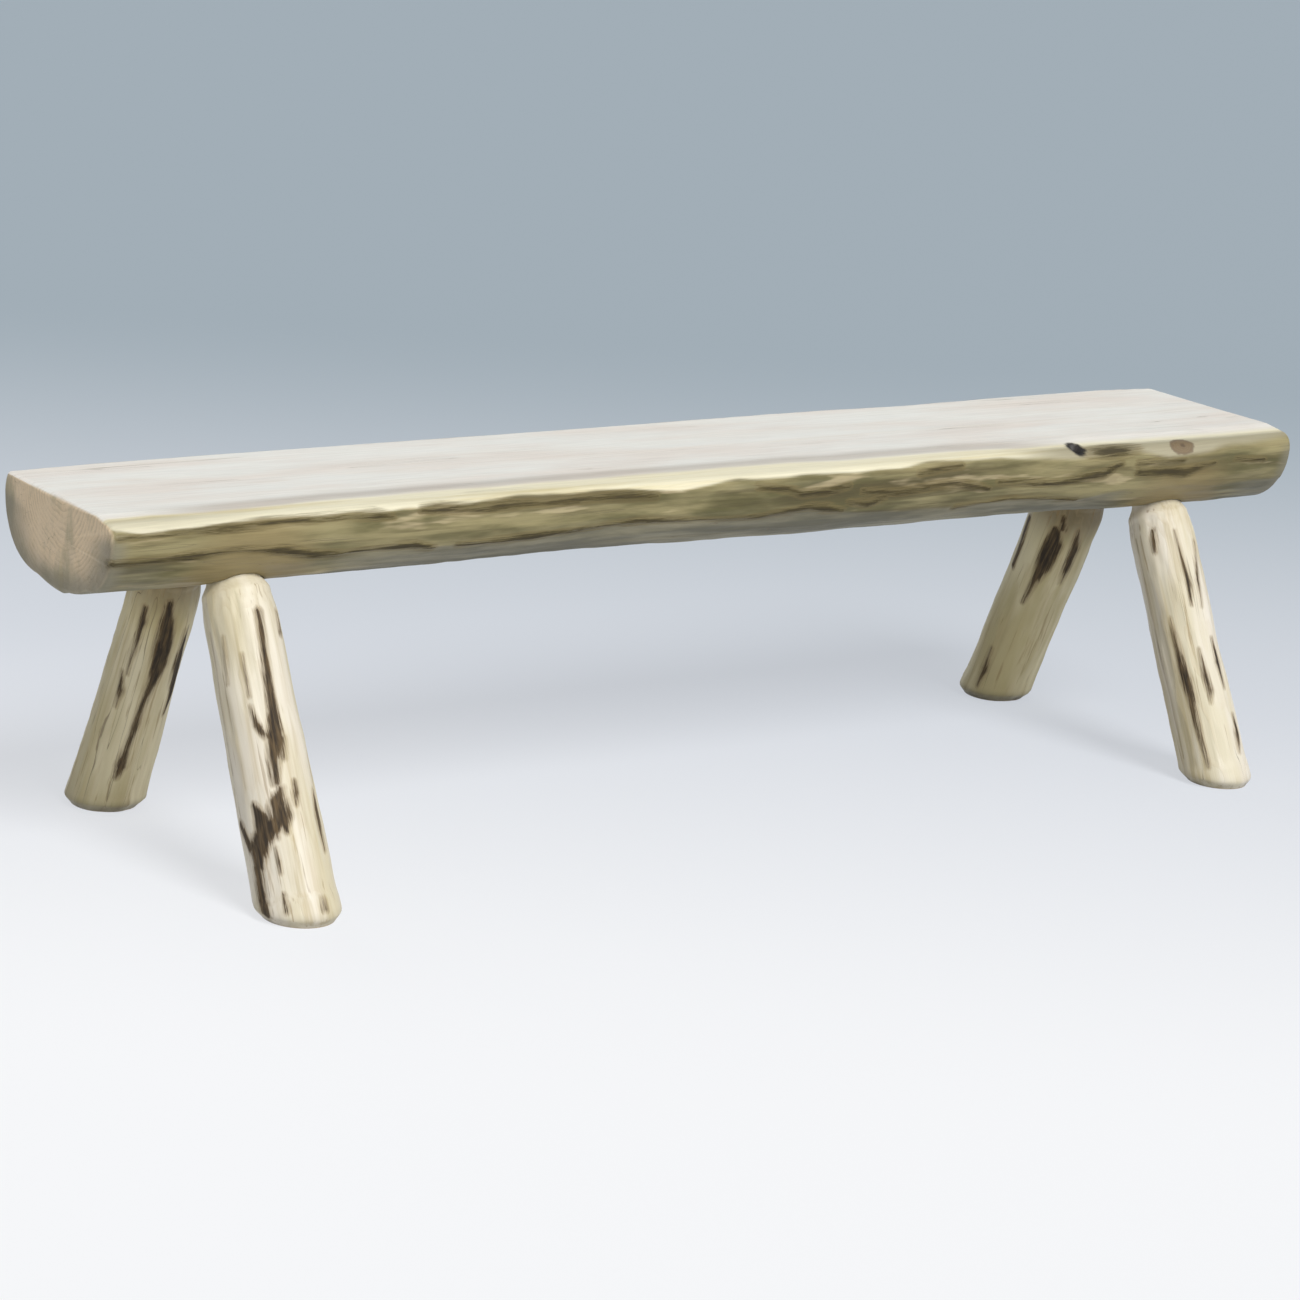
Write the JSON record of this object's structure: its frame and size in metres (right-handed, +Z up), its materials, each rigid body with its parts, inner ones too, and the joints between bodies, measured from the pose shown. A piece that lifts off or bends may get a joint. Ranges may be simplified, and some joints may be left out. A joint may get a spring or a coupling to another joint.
{
  "type": "rustic log bench",
  "caption": "Backless rustic bench: a half log with a flat sawn top and rounded bark side below, on splayed peeled pole legs held in blind wedged tenon joints.",
  "frame": {"origin": "on the floor under the middle of the bench", "axes": "+X along the seat to the right as seen from the front, -Y to the front, +Z up"},
  "size_m": [1.829, 0.6063, 0.47],
  "materials": {
    "half_log": "peeled and oiled log, pale sawn top",
    "peeled_pole": "peeled and oiled pole with dark bark scars",
    "hardwood_wedge": "split hardwood, bare"
  },
  "bodies": {
    "root": {"half_log_seat": "half_log", "front_left_leg": "peeled_pole", "front_right_leg": "peeled_pole", "rear_left_leg": "peeled_pole", "rear_right_leg": "peeled_pole", "front_left_wedge": "hardwood_wedge", "front_right_wedge": "hardwood_wedge", "rear_left_wedge": "hardwood_wedge", "rear_right_wedge": "hardwood_wedge"}
  },
  "joints": []
}
